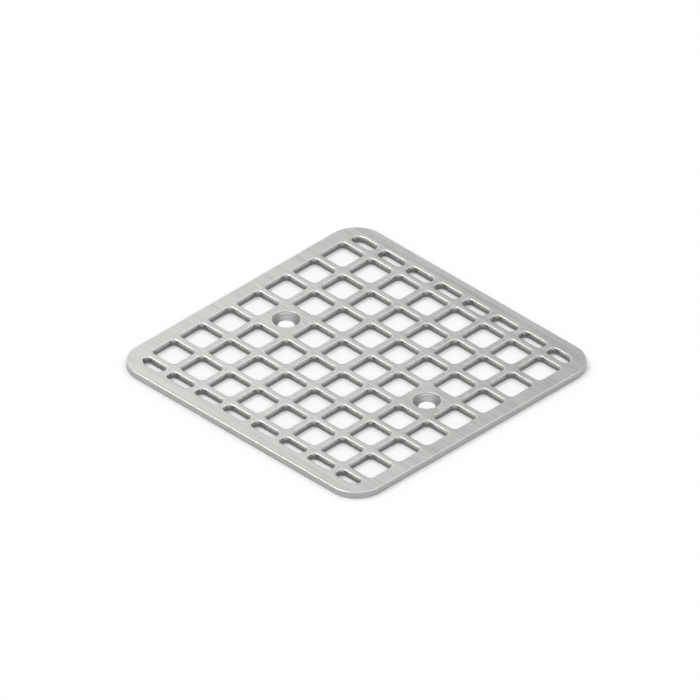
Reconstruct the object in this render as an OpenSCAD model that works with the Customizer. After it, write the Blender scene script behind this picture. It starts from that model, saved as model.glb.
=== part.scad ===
// Square drain strainer plate: a flat punched plate with a grid of rounded square openings,
// a row of narrow slots along two sides, and two countersunk screw holes.
// The plate lies flat, with the origin at the middle of its underside and +Z up.
// All sizes are in millimetres and all angles in degrees.

/* [Plate] */
// Thickness of the plate
plate_t = 2.4; // [2.2:0.1:6]
// Width of the solid border round the field of openings
border_w = 5.45; // [3:0.05:15]
// Radius of the plate's four corners, seen from above
corner_r = 10.3; // [2:0.1:20]
// Width and depth of the bevel that breaks each edge of the upper face
edge_break = 0.3; // [0.05:0.05:0.45]

/* [Openings] */
// Number of columns of openings, an even number; the rows follow, to keep the field square
columns = 8; // [6:2:14]
// Distance from one opening to the next, along both sides of the plate
pitch = 12.7; // [11.5:0.1:16]
// Side of each square opening
opening_side = 10.2; // [8.5:0.1:11.5]
// Radius in the corners of the openings and slots
opening_r = 1.5; // [0.5:0.05:1.8]
// Radius of the corners of the whole field, which rounds the outer ends of the four end slots
field_corner_r = 4.5; // [3:0.1:8]

/* [Screw holes] */
// Place in the middle row where a screw hole stands for an opening, counted from the border
screw_column = 2; // [1:1:3]
// Diameter of the recess for the screw head
head_d = 8.9; // [7:0.1:9.4]
// Depth of the straight step at the top of the recess
head_step = 0.5; // [0.1:0.05:0.65]
// Angle of the countersink from side to side
cone_angle = 90; // [82:1:100]
// Diameter of the hole for the screw's shank
screw_d = 5.5; // [4.5:0.1:6.5]

/* [Hidden] */
$fn = 64;

// How far cutting shapes stand out past the faces that they cut
over = 1;

// The field is as wide as its columns; full rows fill its height, with a slot at either end
field = (columns - 1) * pitch + opening_side;
half_field = field / 2;
plate_side = field + 2 * border_w;
rows = columns - 1;

// A slot is what the field's edge leaves of the next row of openings.
// Its ends keep a short straight stretch between their two corners.
slot_w = opening_side - pitch / 2;
slot_r = min(opening_r, 0.45 * slot_w);

// Half-section of the plate: from its middle out to a side wall at x = half
module plate_section(half) {
    polygon([
        [0, 0],
        [half, 0],
        [half, plate_t - edge_break],
        [half - edge_break, plate_t],
        [0, plate_t]
    ]);
}

// Half-section of a cutter: its wall at x = half goes right through the plate and flares out
// at 45 degrees above the bevel's foot
module opening_section(half) {
    polygon([
        [0, -over],
        [half, -over],
        [half, plate_t - edge_break],
        [half + edge_break + over, plate_t + over],
        [0, plate_t + over]
    ]);
}

// A round corner: the children's half-section, $half wide, turned about the corner's centre
module post(r, centre) {
    translate([centre.x, centre.y, 0])
        rotate_extrude()
            let ($half = r) children();
}

// A straight piece along X: the children's half-section, $half wide, and its mirror image
module run(half, length) {
    rotate([90, 0, 90])
        linear_extrude(length, center = true)
            let ($half = half) {
                children();
                mirror([1, 0])
                    children();
            }
}

// A rounded rectangle with the children's section all round it
module rounded(size, r) {
    for (x = [-1, 1], y = [-1, 1])
        post(r, [x * (size.x / 2 - r), y * (size.y / 2 - r)])
            children();
    run(size.y / 2, size.x - 2 * r)
        children();
    rotate(90)
        run(size.x / 2, size.y - 2 * r)
            children();
}

// The end slot in the field's corner +X +Y. The field's own corner arc rounds its outer side,
// and a small round tip joins that arc to the slot's inner side.
module end_slot() {
    inner_y = half_field - slot_w;
    start_x = half_field - opening_side + slot_r;
    arc_centre = half_field - field_corner_r;
    tip_y = inner_y + slot_r;
    rise = tip_y - arc_centre;
    touching = sqrt(pow(field_corner_r - slot_r, 2) - rise * rise);
    // rounded up to a hundredth, so that the tip's circle crosses the arc and doesn't just touch it
    tip_x = arc_centre + ceil(100 * touching + 1) / 100;
    tip = [tip_x, tip_y];
    away = 2 * field_corner_r / norm(tip - [arc_centre, arc_centre]);

    post(slot_r, [start_x, half_field - slot_r])
        opening_section($half);
    post(slot_r, [start_x, tip_y])
        opening_section($half);
    translate([start_x, half_field - slot_w / 2, 0])
        rotate(90)
            run(slot_r, slot_w - 2 * slot_r)
                opening_section($half);
    translate([(start_x + arc_centre) / 2, half_field - slot_w / 2, 0])
        run(slot_w / 2, arc_centre - start_x)
            opening_section($half);
    intersection() {
        post(field_corner_r, [arc_centre, arc_centre])
            opening_section($half);
        translate([arc_centre, inner_y + field_corner_r, 0])
            run(field_corner_r, 3 * field_corner_r)
                opening_section($half);
        translate([0, 0, -over])
            linear_extrude(plate_t + 2 * over)
                polygon([
                    [start_x, inner_y - 2 * over],
                    [tip_x, inner_y - 2 * over],
                    tip,
                    tip + away * (tip - [arc_centre, arc_centre]),
                    [start_x, inner_y + 2 * field_corner_r]
                ]);
    }
    post(slot_r, tip)
        opening_section($half);
}

// Is the opening at this column and row left out to make room for a screw hole?
function is_screw_place(column, row) =
    row == (rows - 1) / 2 && (column == screw_column - 1 || column == columns - screw_column);

function column_x(column) = (column - (columns - 1) / 2) * pitch;
function row_y(row) = (row - (rows - 1) / 2) * pitch;

// Recess for a countersunk screw: bevelled edge, straight step, cone and hole
module screw_hole() {
    cone_h = (head_d - screw_d) / 2 / tan(cone_angle / 2);
    cone_top = plate_t - head_step;
    cone_bottom = cone_top - cone_h;
    rotate_extrude()
        polygon([
            [0, min(cone_bottom, 0) - over],
            [screw_d / 2, min(cone_bottom, 0) - over],
            [screw_d / 2, cone_bottom],
            [head_d / 2, cone_top],
            [head_d / 2, plate_t - edge_break],
            [head_d / 2 + edge_break + over, plate_t + over],
            [0, plate_t + over]
        ]);
}

module strainer_plate() {
    color("silver")
        difference() {
            rounded([plate_side, plate_side], corner_r)
                plate_section($half);
            for (column = [0 : columns - 1], row = [0 : rows - 1])
                if (!is_screw_place(column, row))
                    translate([column_x(column), row_y(row), 0])
                        rounded([opening_side, opening_side], opening_r)
                            opening_section($half);
            for (column = [1 : columns - 2], side = [-1, 1])
                translate([column_x(column), side * (half_field - slot_w / 2), 0])
                    rounded([opening_side, slot_w], slot_r)
                        opening_section($half);
            for (x = [0, 1], y = [0, 1])
                mirror([x, 0, 0])
                    mirror([0, y, 0])
                        end_slot();
            for (side = [-1, 1])
                translate([side * column_x(columns - screw_column), 0, 0])
                    screw_hole();
        }
}

strainer_plate();
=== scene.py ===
import math

import bpy
import numpy as np
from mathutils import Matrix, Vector


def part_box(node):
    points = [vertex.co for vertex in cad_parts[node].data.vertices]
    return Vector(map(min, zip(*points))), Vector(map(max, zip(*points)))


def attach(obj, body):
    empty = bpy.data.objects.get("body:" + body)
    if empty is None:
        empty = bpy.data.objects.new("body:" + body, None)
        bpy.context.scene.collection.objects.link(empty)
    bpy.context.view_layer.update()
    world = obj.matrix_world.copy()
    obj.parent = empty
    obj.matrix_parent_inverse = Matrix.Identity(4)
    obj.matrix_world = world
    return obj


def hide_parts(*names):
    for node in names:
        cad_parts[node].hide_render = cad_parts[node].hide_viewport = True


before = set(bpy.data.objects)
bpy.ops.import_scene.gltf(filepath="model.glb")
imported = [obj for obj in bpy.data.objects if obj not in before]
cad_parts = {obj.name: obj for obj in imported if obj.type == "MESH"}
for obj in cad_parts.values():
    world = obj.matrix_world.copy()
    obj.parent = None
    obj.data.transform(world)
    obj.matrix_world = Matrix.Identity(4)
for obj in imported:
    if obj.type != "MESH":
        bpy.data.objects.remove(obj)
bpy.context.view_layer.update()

mm = 0.001
print("strainer plate: frame loaded")

# Camera: an isometric view from above, with the middle of the upper face at one spot of the picture
cameraView = {
    "azimuth": 45.0,
    "elevation": math.degrees(math.atan(math.sqrt(0.5))),
    "widthSeen": 0.2235,
    "pictureSide": 700,
    "middleAt": (356.5, 359.8),
    "distance": 0.9,
}


def makeCamera(settings):
    turn, lift = math.radians(settings["azimuth"]), math.radians(settings["elevation"])
    back = Vector((math.sin(turn) * math.cos(lift), -math.cos(turn) * math.cos(lift), math.sin(lift)))
    right = Vector((math.cos(turn), math.sin(turn), 0))
    up = back.cross(right)
    pixel = settings["widthSeen"] / settings["pictureSide"]
    across = settings["middleAt"][0] - settings["pictureSide"] / 2
    down = settings["middleAt"][1] - settings["pictureSide"] / 2
    lowest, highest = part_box("strainer_plate")
    middle = Vector(((lowest.x + highest.x) / 2, (lowest.y + highest.y) / 2, highest.z))
    aim = middle - right * across * pixel + up * down * pixel
    data = bpy.data.cameras.new("camera")
    data.type = "ORTHO"
    data.ortho_scale = settings["widthSeen"]
    data.clip_start, data.clip_end = 0.01, 20
    camera = bpy.data.objects.new("camera", data)
    bpy.context.scene.collection.objects.link(camera)
    camera.location = aim + back * settings["distance"]
    camera.rotation_mode = "QUATERNION"
    camera.rotation_quaternion = back.to_track_quat("Z", "Y")
    bpy.context.scene.camera = camera


makeCamera(cameraView)
print("strainer plate: camera placed")


class Wire:
    # One output of a shader node. Arithmetic on it adds Math nodes.
    def __init__(self, shader, socket):
        self.shader = shader
        self.socket = socket

    def maths(self, operation, *values):
        return self.shader.add("ShaderNodeMath", {"operation": operation}, dict(enumerate(values)))

    def __add__(self, other):
        return self.maths("ADD", self, other)

    def __radd__(self, other):
        return self.maths("ADD", other, self)

    def __sub__(self, other):
        return self.maths("SUBTRACT", self, other)

    def __rsub__(self, other):
        return self.maths("SUBTRACT", other, self)

    def __mul__(self, other):
        return self.maths("MULTIPLY", self, other)

    def __rmul__(self, other):
        return self.maths("MULTIPLY", other, self)

    def __abs__(self):
        return self.maths("ABSOLUTE", self)

    def highest(self, other):
        return self.maths("MAXIMUM", self, other)


class Shader:
    # Adds nodes to one node tree
    def __init__(self, tree):
        self.tree = tree
        tree.nodes.clear()

    def add(self, kind, settings=None, sockets=None, output=0):
        made = self.tree.nodes.new(kind)
        for name, value in (settings or {}).items():
            if name == "stops":
                while len(made.color_ramp.elements) < len(value):
                    made.color_ramp.elements.new(0.5)
                for stop, (place, colour) in zip(made.color_ramp.elements, value):
                    stop.position, stop.color = place, (*colour, 1)
            else:
                setattr(made, name, value)
        for key, value in (sockets or {}).items():
            if isinstance(value, Wire):
                self.tree.links.new(value.socket, made.inputs[key])
            else:
                made.inputs[key].default_value = value
        return Wire(self, made.outputs[output]) if made.outputs else None

    def mixed(self, factor, first, second):
        # A Mix node's colours go in at 6 and 7, and the mixed one comes out at 2
        return self.add("ShaderNodeMix", {"data_type": "RGBA"}, {0: factor, 6: first, 7: second}, 2)

    def step(self, value, low, high):
        # Rises smoothly from 0 at low to 1 at high
        limits = {0: value, 1: low, 2: high, 3: 0.0, 4: 1.0}
        return self.add("ShaderNodeMapRange", {"interpolation_type": "SMOOTHSTEP"}, limits)

    def grain(self, place, mark):
        # Noise with blotches as long as the mark's size, along axes that are turned about Z. Where
        # the mark has limits, the noise rises from 0 at the lower to 1 at the upper.
        turned = self.add("ShaderNodeMapping", {"vector_type": "TEXTURE"}, {
            "Vector": place, "Location": mark.get("offset", (0, 0, 0)),
            "Rotation": (0, 0, math.radians(mark.get("turn", 0))), "Scale": mark["size"]})
        noise = self.add("ShaderNodeTexNoise", {}, {
            "Vector": turned, "Scale": 1.0, "Detail": mark.get("detail", 2), "Roughness": 0.5})
        return self.step(noise, *mark["limits"]) if "limits" in mark else noise


def newMaterial(name):
    material = bpy.data.materials.new(name)
    material.use_nodes = True
    return material, Shader(material.node_tree)


def rgb(red, green, blue):
    return (red, green, blue, 1.0)


# Stainless steel with a satin finish brushed along X, with painted shade on its walls and painted
# highlights at its edges. Sizes and heights are in millimetres.
steelLook = {
    "ridge": rgb(0.68, 0.675, 0.66),        # brushed faces, tops of the brush lines
    "groove": rgb(0.50, 0.495, 0.485),      # brushed faces, between the lines
    "polishedSheen": rgb(0.76, 0.755, 0.74),     # rounded edges, rubbed bright by deburring and painted lighter as a highlight; also the bright scratches
    "burnished": rgb(0.50, 0.495, 0.485),   # upper band of the punched walls, darkened as painted shade
    "tornAndShaded": rgb(0.28, 0.277, 0.27),         # lower band of the punched walls, dark as torn metal is and darker still as painted shade
    "turned": rgb(0.50, 0.495, 0.485),      # cut rim and screw recesses, darkened as painted shade
    "brushedRoughness": 0.30,
    "edgeRoughness": 0.22,
    "burnishedRoughness": 0.26,
    "turnedRoughness": 0.38,
    "tornRoughness": 0.55,
    "haloSheenTint": 0.35,                     # how strongly each of these colours shows: the painted halo, the streaks and the painted edge highlight
    "streakTint": 0.5,
    "edgeSheenTint": 0.8,
    "wallTilt": (0.12, 0.45),               # how upright the normal stands where a wall ends
    "flatTilt": (0.90, 0.985),              # and where a flat face begins
    "coneEnds": (-0.2, -0.06),              # distance into the metal where a recess's cone ends
    "haloSheenEnds": (0.2, 0.8),               # and where the painted reflection halo round an edge ends
    "tornBlend": 0.1,                       # half the height over which the torn band sets in
    "brushLimits": (0.32, 0.68),            # from groove to ridge in the brushed pattern
    # Marks made of noise. Size is along X, Y and Z and turn in degrees. Share is the part in the
    # brushed pattern, tint the strength of the colour, height how far the mark stands out, and swing
    # how far it moves a roughness, or the torn band's upper limit, up and down.
    "marks": {
        "hairs": {"size": (12, 0.09, 4), "share": 0.45, "swing": 0.12, "height": 0.006},
        "lines": {"size": (34, 0.28, 4), "offset": (7, 3, 1), "share": 0.35, "height": 0.010},
        "bands": {"size": (90, 2.2, 4), "offset": (5, 9, 2), "share": 0.2, "swing": 0.14, "height": 0.012},
        "deeper": {"size": (20, 0.17, 4), "offset": (2, 6, 3), "detail": 1, "limits": (0.68, 0.76),
                   "tint": 0.35, "height": -0.004},
        "cloud": {"size": (16, 16, 16), "detail": 3, "swing": 0.16},
        "scratches": {"size": (9, 0.13, 4), "turn": 28, "offset": (3, 8, 5), "detail": 0,
                      "limits": (0.77, 0.82), "tint": 0.4, "height": -0.003},
        "steepScratches": {"size": (7, 0.12, 4), "turn": -54, "offset": (9, 2, 7), "detail": 0,
                           "limits": (0.78, 0.83)},
        "drag": {"size": (0.18, 0.18, 3.0), "swing": 0.15, "height": 0.012},
        "grit": {"size": (0.22, 0.22, 0.26), "detail": 3, "height": 0.05},
        "ragged": {"size": (1.4, 1.4, 9.0), "swing": 0.9},
        "rings": {"size": (9, 9, 0.10), "limits": (0.34, 0.66), "height": 0.004},
    },
}


def makeSteel(look, tornBelow):
    # place is the object coordinate in millimetres, tilt says how upright the normal stands, and the
    # mesh gives each point's distance into the metal and whether its wall is turned or punched
    material, shader = newMaterial("satinStainless")
    metres = shader.add("ShaderNodeTexCoord", output=3)
    place = shader.add("ShaderNodeVectorMath", {"operation": "SCALE"}, {0: metres, "Scale": 1 / mm})
    height = shader.add("ShaderNodeSeparateXYZ", {}, {0: place}, 2)
    normal = shader.add("ShaderNodeTexCoord", output=1)
    tilt = abs(shader.add("ShaderNodeSeparateXYZ", {}, {0: normal}, 2))
    inMetal = shader.add("ShaderNodeAttribute", {"attribute_name": "inMetal"}, {}, 2)
    turned = shader.add("ShaderNodeAttribute", {"attribute_name": "turned"}, {}, 2)

    # Where the flat faces, the walls and the rounded edges between them are. A countersink's cone
    # counts as a wall.
    flat = shader.step(tilt, *look["flatTilt"])
    cone = turned * (1 - shader.step(inMetal, *look["coneEnds"])) * (1 - flat)
    wall = (1 - shader.step(tilt, *look["wallTilt"])).highest(cone)
    rounded = 1 - flat - wall
    # A lighter stretch of the flat faces close round each edge, which carries a painted reflection halo
    haloSheen = (1 - shader.step(inMetal, *look["haloSheenEnds"])) * flat

    # Brushed faces have hairs, longer lines and broad bands along X, a few deeper lines, and sparse
    # thin scratches in two other directions. Punched walls have drag marks down them, and grit in
    # their torn lower band, which begins at a ragged limit. Turned faces have rings.
    marks = {name: shader.grain(place, mark) for name, mark in look["marks"].items()}
    marks["scratches"] = marks["scratches"].highest(marks["steepScratches"])

    def part(name, key):
        return marks[name] * look["marks"][name][key]

    def swing(name):
        return (marks[name] - 0.5) * look["marks"][name]["swing"]

    blend = look["tornBlend"]
    # The torn lower band, which takes the darkest painted shade
    tornAndShaded = (1 - shader.step(height + swing("ragged"), tornBelow - blend, tornBelow + blend)) * (1 - turned)

    brushing = part("hairs", "share") + part("lines", "share") + part("bands", "share")
    brushed = shader.mixed(shader.step(brushing, *look["brushLimits"]), look["groove"], look["ridge"])
    brushed = shader.mixed(part("deeper", "tint"), brushed, look["tornAndShaded"])
    brushed = shader.mixed(part("scratches", "tint"), brushed, look["polishedSheen"])
    # The painted reflection halo round each edge of the flat faces
    brushed = shader.mixed(haloSheen * look["haloSheenTint"], brushed, look["polishedSheen"])
    # The walls' colours are painted shade, darker than the flat faces because they lie in shade. The torn
    # band is darkest, partly because torn metal is darker.
    shadedWalls = shader.mixed(tornAndShaded, look["burnished"], look["tornAndShaded"])
    shadedWalls = shader.mixed(turned, shadedWalls, look["turned"])
    streaks = marks["drag"] * (1 - turned) + marks["rings"] * turned
    shadedWalls = shader.mixed(streaks * look["streakTint"], shadedWalls, look["tornAndShaded"])
    colour = shader.mixed(wall, brushed, shadedWalls)
    # Rounded edges are painted lighter: polish from deburring, and a painted highlight
    colour = shader.mixed(rounded * look["edgeSheenTint"], colour, look["polishedSheen"])

    onFlat = look["brushedRoughness"] + swing("bands") + swing("cloud") + swing("hairs")
    onPunched = look["burnishedRoughness"] + tornAndShaded * (look["tornRoughness"] - look["burnishedRoughness"])
    onWall = onPunched + turned * (look["turnedRoughness"] - onPunched) + swing("drag")
    roughness = flat * onFlat + wall * onWall + rounded * look["edgeRoughness"]

    brushRelief = (part("hairs", "height") + part("lines", "height") + part("bands", "height")
                   + part("deeper", "height") + part("scratches", "height"))
    punchRelief = part("drag", "height") + tornAndShaded * part("grit", "height")
    relief = (flat * brushRelief + wall * (1 - turned) * punchRelief
              + wall * turned * part("rings", "height"))
    bump = shader.add("ShaderNodeBump", {}, {"Strength": 1.0, "Distance": mm, "Height": relief})
    surface = shader.add("ShaderNodeBsdfPrincipled", {}, {
        "Base Color": colour, "Metallic": 1.0, "Roughness": roughness, "Normal": bump})
    shader.add("ShaderNodeOutputMaterial", {}, {"Surface": surface})
    return material


# The plate in millimetres, as its solid has it. The edges get the roundness that punching and
# deburring leave, which the solid shows as a bevel.
plateSizes = {
    "thickness": 2.4,
    "side": 110.0,
    "cornerRadius": 10.3,
    "pitch": 12.7,
    "columns": 8,
    "openingSide": 10.2,
    "openingRadius": 1.5,
    "fieldCornerRadius": 4.5,
    "slotWidth": 3.85,
    "screwColumn": 2,
    "recessRadius": 4.45,
    "recessStep": 0.5,
    "coneFoot": 0.2,
    "screwRadius": 2.75,
    "arcSteps": 8,          # steps round a quarter circle, an even number
    "sideSteps": 6,         # steps along an opening's straight side, an even number
    "endSteps": 2,          # steps along a slot's short straight end, an even number
    "runSteps": 4,          # steps along an end slot's outer side, up to the field's corner arc
    "flatFrom": 1.05,       # how far from an opening's wall the upper face is quite flat again
    "rimFlatFrom": 1.35,    # and how far in from the rim
    "rollOver": 0.035,      # how far the punch drew the upper face down at the openings
    "rollOverReach": 0.9,   # and how far from the wall that drop begins
    "burnished": 1.5,       # height at which the punched wall's smooth upper band gives way to torn metal
    "tear": 0.05,           # how much wider the opening is at the bottom
    "bend": 3.0,            # radius of the gentle bends in a punched wall and in the drop beside it
    "edgeRadius": 0.3,      # upper edges of the openings and the rim
    "footRadius": 0.1,      # lower edges of the openings
    "rimFootRadius": 0.15,
    "recessEdgeRadius": 0.22,
    "stepRadius": 0.06,     # where a recess's step meets its cone
    "coneRadius": 0.05,     # where the cone meets the hole, and the hole the underside
}


def roundedProfile(*corners):
    # Straight runs from corner to corner. A corner is its distance into the metal and its height,
    # and all but the first and last also have a radius and steps, for the arc that takes over there:
    # point = centre + radius * normal, while the normal turns from the first run's to the second's.
    # Columns of the result: distance into the metal, height, and the normal's two parts.
    def unit(a, b):
        return (b - a) / np.linalg.norm(b - a)

    spots = [np.array(corner[:2], float) for corner in corners]
    first, last = unit(spots[0], spots[1]), unit(spots[-2], spots[-1])
    rows = [np.array([[*spots[0], first[1], -first[0]]])]
    for before, spot, after, corner in zip(spots, spots[1:], spots[2:], corners[1:]):
        inward, onward = unit(before, spot), unit(spot, after)
        turn = math.atan2(inward[0] * onward[1] - inward[1] * onward[0], inward @ onward)
        side, radius, steps = math.copysign(1, turn), corner[2], corner[3]
        start = spot - inward * radius * math.tan(abs(turn) / 2)
        centre = start + side * radius * np.array([-inward[1], inward[0]])
        angle = np.linspace(0, turn, steps + 1)
        normal = np.stack([inward[1] * np.cos(angle) + inward[0] * np.sin(angle),
                           inward[1] * np.sin(angle) - inward[0] * np.cos(angle)], 1)
        rows.append(np.hstack([centre + side * radius * normal, normal]))
    rows.append(np.array([[*spots[-1], last[1], -last[0]]]))
    return np.vstack(rows)


def arc(centre, radius, start, end, steps):
    # Points and outward normals of a circle's arc: centre + radius * (cos a, sin a)
    angle = np.radians(np.linspace(start, end, steps + 1))
    normal = np.stack([np.cos(angle), np.sin(angle)], 1)
    return np.array(centre) + radius * normal, normal


def straight(start, end, steps):
    # Evenly spaced points from start to end
    return np.linspace(start, end, steps + 1)


def chained(*stretches):
    # Stretches that meet end to end, each without its last point, which is the next one's first
    return np.vstack([stretch[:-1] for stretch in stretches])


def fullTurn(quadrant):
    # A quadrant from angle 0 to 90 mirrored into a closed loop. Its columns are x and y pairs.
    flip = np.tile([-1, 1], quadrant.shape[1] // 2)
    return chained(quadrant, quadrant[::-1] * flip, -quadrant, quadrant[::-1] * -flip)


def openingLoop(halfX, halfY, radius, cellX, cellY, sizes, stepsX, stepsY):
    # A rounded rectangle. Columns: its point, its outward normal, and the point of the cell's
    # border that belongs to it, which runs along the side to the cell's corner and on.
    steps = sizes["arcSteps"]
    edgeX, edgeY = halfX - radius, halfY - radius
    corner, normal = arc((edgeX, edgeY), radius, 0, 90, steps)
    point = np.vstack([straight((halfX, 0), (halfX, edgeY), stepsY // 2)[:-1], corner,
                       straight((edgeX, halfY), (0, halfY), stepsX // 2)[1:]])
    outward = np.vstack([np.tile([1.0, 0.0], (stepsY // 2, 1)), normal,
                         np.tile([0.0, 1.0], (stepsX // 2, 1))])
    border = np.vstack([straight((cellX, 0), (cellX, edgeY), stepsY // 2)[:-1],
                        straight((cellX, edgeY), (cellX, cellY), steps // 2)[:-1],
                        straight((cellX, cellY), (edgeX, cellY), steps // 2)[:-1],
                        straight((edgeX, cellY), (0, cellY), stepsX // 2)])
    return fullTurn(np.hstack([point, outward, border]))


def screwLoop(radius, squareLoop):
    # A circle with as many points as an opening's loop, and the same cell border
    angle = np.arange(len(squareLoop)) * 2 * math.pi / len(squareLoop)
    normal = np.stack([np.cos(angle), np.sin(angle)], 1)
    return np.hstack([radius * normal, normal, squareLoop[:, 4:]])


def endSlotLoop(sizes):
    # The slot in the corner +X +Y. Its outer side follows the arc of the field's own corner, and a
    # small round tip joins that arc to the slot's inner side. Columns as for an opening.
    pitch, radius, steps = sizes["pitch"], sizes["openingRadius"], sizes["arcSteps"]
    edge = sizes["columns"] / 2 * pitch                        # border of the outermost cells
    high = edge - (pitch - sizes["openingSide"]) / 2           # the slot's outer side
    low, wall = high - sizes["slotWidth"], high - sizes["openingSide"]
    left, foot, top = wall + radius, low + radius, high - radius
    cellLeft, cellFoot = edge - pitch, edge - pitch / 2
    right = edge - (left - cellLeft)
    bigRadius = sizes["fieldCornerRadius"]
    bigCentre = high - bigRadius
    tip = bigCentre + math.sqrt((bigRadius - radius) ** 2 - (foot - bigCentre) ** 2)
    meeting = math.degrees(math.atan2(foot - bigCentre, tip - bigCentre))

    # Each stretch of the slot's outline, with the corners of the cell's border that belong to it
    stretches = [
        (arc((left, foot), radius, 180, 270, steps),
         [(cellLeft, foot), (cellLeft, cellFoot), (left, cellFoot)]),
        ((straight((left, low), (tip, low), sizes["sideSteps"]), (0, -1)),
         [(left, cellFoot), (right, cellFoot)]),
        (arc((tip, foot), radius, -90, -45, steps // 2),
         [(right, cellFoot), (edge, cellFoot)]),
        (arc((tip, foot), radius, -45, meeting, steps),
         [(edge, cellFoot), (edge, edge)]),
        (arc((bigCentre, bigCentre), bigRadius, meeting, 90, steps),
         [(edge, edge), (bigCentre, edge)]),
        ((straight((bigCentre, high), (left, high), sizes["runSteps"]), (0, 1)),
         [(bigCentre, edge), (left, edge)]),
        (arc((left, top), radius, 90, 180, steps),
         [(left, edge), (cellLeft, edge), (cellLeft, top)]),
        ((straight((wall, top), (wall, foot), sizes["endSteps"]), (-1, 0)),
         [(cellLeft, top), (cellLeft, foot)]),
    ]
    rows = []
    for (point, normal), marks in stretches:
        count = (len(point) - 1) // (len(marks) - 1)
        border = chained(*[straight(a, b, count) for a, b in zip(marks, marks[1:])])
        border = np.vstack([border, marks[-1:]])
        rows.append(np.hstack([point, np.broadcast_to(normal, point.shape), border]))
    return chained(*rows)


def rimLoop(border, sizes):
    # The plate's own outline, run clockwise, one point for each point of the field's border: straight
    # out to the side, or by its angle about the middle of the corner's arc. Normals point inwards.
    half, radius = sizes["side"] / 2, sizes["cornerRadius"]
    middle = np.clip(border, radius - half, half - radius)
    away = border - middle
    outward = away / np.linalg.norm(away, axis=1, keepdims=True)
    return np.hstack([middle + outward * radius, -outward, border])[::-1]


def ringGrid(loop, profile, top, turned):
    # A profile carried round a loop: point + distance * normal, at the profile's height. The first
    # and last rows lie on the cell's border, on the upper and the under side. How far a row is in
    # the metal counts from the upper edge, and on the under side from the edge there.
    point, normal, border = loop[:, :2], loop[:, 2:4], loop[:, 4:]
    shape = (len(profile) + 2, len(loop))
    place, facing = np.zeros((*shape, 3)), np.zeros((*shape, 3))
    place[1:-1, :, :2] = point + profile[:, None, :1] * normal
    place[1:-1, :, 2] = profile[:, 1:2]
    facing[1:-1, :, :2] = profile[:, None, 2:3] * normal
    facing[1:-1, :, 2] = profile[:, 3:4]
    place[[0, -1], :, :2] = border
    place[0, :, 2], facing[0, :, 2], facing[-1, :, 2] = top, 1, -1
    fromEdge = profile[:, 0] - np.where(profile[:, 3] < -0.5, profile[:, 0].min(), 0)
    deep = 9.0   # the cell's border counts as far from any edge
    inMetal = np.repeat(np.concatenate([[deep], fromEdge, [deep]]), len(loop))
    row, column = np.meshgrid(np.arange(shape[0] - 1), np.arange(shape[1]), indexing="ij")
    following = (column + 1) % shape[1]
    faces = np.stack([row * shape[1] + column, row * shape[1] + following,
                      (row + 1) * shape[1] + following, (row + 1) * shape[1] + column], -1).reshape(-1, 4)
    return place.reshape(-1, 3), facing.reshape(-1, 3), inMetal, np.full(shape[0] * shape[1], turned), faces


# The plate's own map, which its textures are baked through. Spans are shares of the map's width. The
# brushing runs along X, so the flat sides are squeezed along X and their fine lines stay sharp.
plateMap = {
    "name": "OFBake",
    "upper": (0.002, 0.462),
    "under": (0.6, 0.465),    # it faces down, so X runs the other way
    "strips": (0.602, 1.0),   # the walls, unrolled
    "stripColumns": 2,
    "stripLength": 42.0,      # about how much wall one strip holds
    "gap": 0.001,             # what stays empty round each strip and at the map's edge
    "flatFacing": 0.99,       # a face whose normal stands this upright belongs to a flat side
}


def loopLengths(loop):
    # How far along the loop each point lies, with the whole length as a last value
    steps = np.linalg.norm(np.roll(loop[:, :2], -1, axis=0) - loop[:, :2], axis=1)
    return np.concatenate([[0], np.cumsum(steps)])


def ringMap(loop, profile, place, strips, firstStrip, stripRows, side, layout):
    # Map places for the corners of a ring's faces. On a flat side they are x and y as shares of the
    # plate's side. The wall between the flat sides is cut into strips of about equal length, which
    # are unrolled: along the loop to the right, and down the wall upwards.
    gap, columns = layout["gap"], layout["stripColumns"]
    place = place.reshape(len(profile) + 2, len(loop), 3)
    onward = np.roll(place, -1, axis=1)
    share = np.stack([place[:-1], onward[:-1], onward[1:], place[1:]], 2)[..., :2] / side + 0.5
    wall = np.flatnonzero(np.abs(profile[:, 3]) < layout["flatFacing"])
    first, last = wall[0], wall[-1] + 2
    spot = np.empty(share.shape)
    for rows, (low, high) in [(slice(0, first), layout["upper"]), (slice(last, None), layout["under"])]:
        spot[rows, ..., 0] = low + share[rows, ..., 0] * (high - low)
        spot[rows, ..., 1] = gap + share[rows, ..., 1] * (1 - 2 * gap)

    around = loopLengths(loop)
    cuts = np.searchsorted(around, np.linspace(0, around[-1], strips + 1))
    strip = np.searchsorted(cuts, np.arange(len(loop)), side="right") - 1
    start, length = around[cuts[strip]], around[cuts[strip + 1]] - around[cuts[strip]]
    left, right = (around[:-1] - start) / length, (around[1:] - start) / length
    down = np.linalg.norm(np.diff(profile[first - 1:last, :2], axis=0), axis=1).cumsum()
    down = np.concatenate([[0], down]) / down[-1]
    row, column = np.divmod(firstStrip + strip, columns)
    low, high = layout["strips"]
    width, height = (high - low) / columns, 1 / stripRows
    along = np.stack([left, right, right, left], -1)
    upward = np.stack([down[:-1], down[:-1], down[1:], down[1:]], -1)
    spot[first:last, ..., 0] = low + column[:, None] * width + gap + along * (width - 2 * gap)
    spot[first:last, ..., 1] = row[:, None] * height + gap + upward[:, None] * (height - 2 * gap)
    return spot.reshape(-1, 2)


def mapRings(rings, side, layout):
    # One map for all the rings, with as many rows of strips as their walls need
    lengths = [loopLengths(loop)[-1] for loop, profile, place in rings]
    strips = [max(1, round(length / layout["stripLength"])) for length in lengths]
    firsts = np.cumsum([0] + strips[:-1])
    stripRows = math.ceil(sum(strips) / layout["stripColumns"])
    return np.concatenate([ringMap(*ring, count, first, stripRows, side, layout)
                           for ring, count, first in zip(rings, strips, firsts)])


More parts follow.
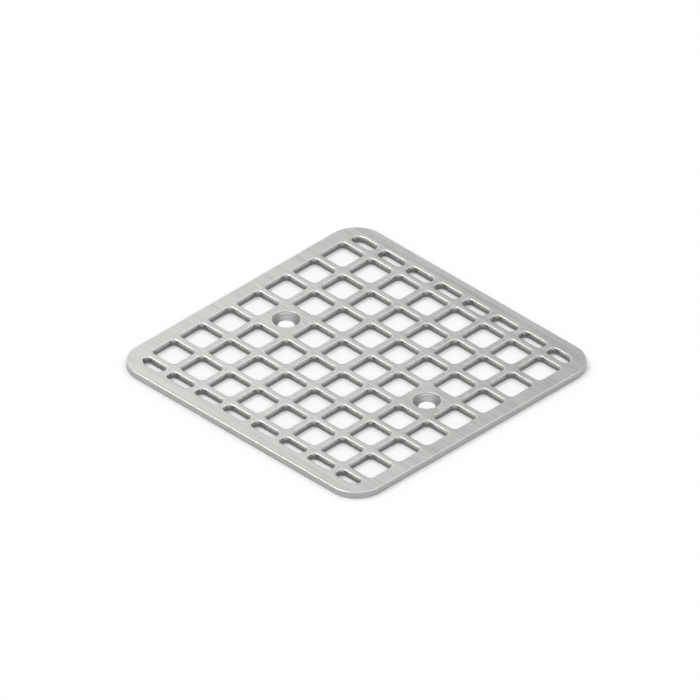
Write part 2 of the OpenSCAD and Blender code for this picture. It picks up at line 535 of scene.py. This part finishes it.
def makePlate(sizes, layout, material):
    # Each opening, slot and screw hole is a ring: its profile carried round its outline, out to the
    # border of its own cell on both sides of the plate. The rim is one more ring, from the border of
    # the whole field outwards. Rings meet at the borders, where their points are merged.
    top, pitch, columns = sizes["thickness"], sizes["pitch"], sizes["columns"]
    half, halfCell, halfCells = sizes["openingSide"] / 2, pitch / 2, columns / 2 * pitch
    sides, flat, rimFlat = sizes["sideSteps"], sizes["flatFrom"], sizes["rimFlatFrom"]
    edge, bend, coneBend = sizes["edgeRadius"], sizes["bend"], sizes["coneRadius"]
    cone = sizes["screwRadius"] - sizes["recessRadius"]
    punched = roundedProfile(
        (flat, top), (sizes["rollOverReach"], top, bend, 2), (0, top - sizes["rollOver"], edge, 5),
        (0, sizes["burnished"], bend, 1), (sizes["tear"], 0, sizes["footRadius"], 2), (flat, 0))
    sunk = roundedProfile(
        (flat, top), (0, top, sizes["recessEdgeRadius"], 5),
        (0, top - sizes["recessStep"], sizes["stepRadius"], 2),
        (cone, sizes["coneFoot"], coneBend, 2), (cone, 0, coneBend, 2), (flat, 0))
    rim = roundedProfile((rimFlat, top), (0, top, edge, 5), (0, 0, sizes["rimFootRadius"], 3), (rimFlat, 0))

    radius = sizes["openingRadius"]
    opening = openingLoop(half, half, radius, halfCell, halfCell, sizes, sides, sides)
    slot = openingLoop(half, sizes["slotWidth"] / 2, radius, halfCell, halfCell / 2, sizes,
                       sides, sizes["endSteps"])
    screw = screwLoop(sizes["recessRadius"], opening)
    endSlot = endSlotLoop(sizes)

    xs = (np.arange(columns) - (columns - 1) / 2) * pitch
    ys = (np.arange(columns - 1) - (columns - 2) / 2) * pitch
    slotY = halfCells - halfCell / 2
    screwColumns = (sizes["screwColumn"] - 1, columns - sizes["screwColumn"])
    grids, rings = [], []

    def put(loop, profile, turned, x=0.0, y=0.0):
        moved = loop + np.array([x, y, 0, 0, x, y])
        grids.append(ringGrid(moved, profile, top, turned))
        rings.append((moved, profile, grids[-1][0]))

    for column, x in enumerate(xs):
        for row, y in enumerate(ys):
            if row == len(ys) // 2 and column in screwColumns:
                put(screw, sunk, 1.0, x, y)
            else:
                put(opening, punched, 0.0, x, y)
    for x in xs[1:-1]:
        put(slot, punched, 0.0, x, slotY)
        put(slot, punched, 0.0, x, -slotY)
    for flip in [(1, 1), (-1, 1), (-1, -1), (1, -1)]:
        loop = endSlot * np.tile(flip, 3)
        put(loop if flip[0] == flip[1] else loop[::-1], punched, 0.0)

    # The field's border is every cell border point on the big square, once each and in order round it
    upper = np.vstack([grid[0][grid[0][:, 2] == top] for grid in grids])[:, :2]
    outer = upper[np.abs(upper).max(axis=1) > halfCells - 1e-6]
    outer = outer[np.unique(np.round(outer, 5), axis=0, return_index=True)[1]]
    outer = outer[np.argsort(np.arctan2(outer[:, 1], outer[:, 0]))]
    put(rimLoop(outer, sizes), rim, 1.0)

    counts = np.cumsum([0] + [len(grid[0]) for grid in grids])
    place, facing, inMetal, turned = [np.concatenate([grid[i] for grid in grids]) for i in range(4)]
    faces = np.concatenate([grid[4] + count for grid, count in zip(grids, counts)])

    # Points that agree to a ten-thousandth of a millimetre become one
    kept, merged = np.unique(np.round(place, 4), axis=0, return_index=True, return_inverse=True)[1:]
    merged = merged.reshape(-1)
    mesh = bpy.data.meshes.new("plateSteel")
    mesh.from_pydata((place[kept] * mm).tolist(), [], merged[faces].tolist())
    mesh.shade_smooth()
    mesh.normals_split_custom_set_from_vertices(facing[kept].tolist())
    for name, values in [("inMetal", inMetal), ("turned", turned)]:
        attribute = mesh.attributes.new(name, "FLOAT", "POINT")
        attribute.data.foreach_set("value", values[kept].astype(np.float32))
    spots = mapRings(rings, sizes["side"], layout)
    mesh.uv_layers.new(name=layout["name"]).data.foreach_set("uv", spots.ravel())
    mesh.materials.append(material)
    piece = bpy.data.objects.new("strainer_plate_steel", mesh)
    bpy.context.scene.collection.objects.link(piece)
    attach(piece, "root")
    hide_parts("strainer_plate")
    return piece


steel = makeSteel(steelLook, plateSizes["burnished"])
plate = makePlate(plateSizes, plateMap, steel)
print("strainer plate: plate made,", len(plate.data.polygons), "faces")

# Floor, backdrop and light: white paper under a pale studio, with the shadow kept. The lift is a
# little light of the paper's own, seen by camera and reflections only, which makes it quite white.
studio = {
    "floorSide": 8.0,
    "floorDrop": 0.01 * mm,
    "paper": rgb(0.93, 0.93, 0.93),
    "lift": 0.08,
    # How bright the studio is at each height, as the sine of the angle above the horizon: white
    # round the horizon, dimmer walls, a bright ring of light overhead and a dim middle of the ceiling
    "sky": [(0.0, 1.0), (0.08, 1.0), (0.28, 0.5), (0.66, 0.5), (0.78, 1.35), (0.92, 1.35), (0.98, 0.6)],
}


def seenDirectly(shader):
    # 1 for camera, glossy and transmission rays, 0 for the rest
    camera = shader.add("ShaderNodeLightPath", output=0)
    glossy = shader.add("ShaderNodeLightPath", output=3)
    through = shader.add("ShaderNodeLightPath", output=6)
    return camera.highest(glossy).highest(through)


def makeFloor(settings):
    half, z = settings["floorSide"] / 2, -settings["floorDrop"]
    corners = [(-half, -half, z), (half, -half, z), (half, half, z), (-half, half, z)]
    mesh = bpy.data.meshes.new("floor")
    mesh.from_pydata(corners, [], [(0, 1, 2, 3)])
    floor = bpy.data.objects.new("floor", mesh)
    bpy.context.scene.collection.objects.link(floor)
    material, shader = newMaterial("paper")
    paper = shader.add("ShaderNodeBsdfDiffuse", {}, {"Color": settings["paper"]})
    strength = seenDirectly(shader) * settings["lift"]
    glow = shader.add("ShaderNodeEmission", {}, {"Color": rgb(1, 1, 1), "Strength": strength})
    both = shader.add("ShaderNodeAddShader", {}, {0: paper, 1: glow})
    shader.add("ShaderNodeOutputMaterial", {}, {"Surface": both})
    mesh.materials.append(material)


def makeWorld(settings):
    world = bpy.data.worlds.new("studio")
    world.use_nodes = True
    bpy.context.scene.world = world
    shader = Shader(world.node_tree)
    direction = shader.add("ShaderNodeTexCoord", output=0)
    height = shader.add("ShaderNodeSeparateXYZ", {}, {0: direction}, 2)
    brightest = max(tone for place, tone in settings["sky"])
    stops = [(place, (tone / brightest,) * 3) for place, tone in settings["sky"]]
    tone = shader.add("ShaderNodeValToRGB", {"stops": stops}, {0: height})
    light = shader.add("ShaderNodeBackground", {}, {"Color": tone, "Strength": brightest})
    shader.add("ShaderNodeOutputWorld", {}, {"Surface": light})


# Lamps that look at the plate: compass angle from +X and height above the floor, in degrees. A softbox
# has its distance and side in metres and its energy in watts, and a sun has its apparent width in
# degrees. The sun and the sky light the paper evenly, and the softbox shows in reflections only.
lamps = {
    "softbox": {"round": 157, "height": 44, "distance": 0.6, "side": 0.4, "energy": 0.3},
    "sun": {"round": 205, "height": 62, "width": 30, "energy": 0.52},
}


def makeLamp(name, settings):
    softbox = "side" in settings
    data = bpy.data.lights.new(name, "AREA" if softbox else "SUN")
    data.energy = settings["energy"]
    if softbox:
        data.shape, data.size = "SQUARE", settings["side"]
    else:
        data.angle = math.radians(settings["width"])
    lamp = bpy.data.objects.new(name, data)
    lamp.visible_diffuse = not softbox
    bpy.context.scene.collection.objects.link(lamp)
    turn, lift = math.radians(settings["round"]), math.radians(settings["height"])
    away = Vector((math.cos(turn) * math.cos(lift), math.sin(turn) * math.cos(lift), math.sin(lift)))
    lamp.location = away * settings.get("distance", 1.0)
    lamp.rotation_mode = "QUATERNION"
    lamp.rotation_quaternion = away.to_track_quat("Z", "Y")
    lamp.visible_camera = False


makeFloor(studio)
makeWorld(studio)
for name, settings in lamps.items():
    makeLamp(name, settings)
bpy.context.scene.view_settings.view_transform = "Standard"
print("strainer plate: floor and light made")
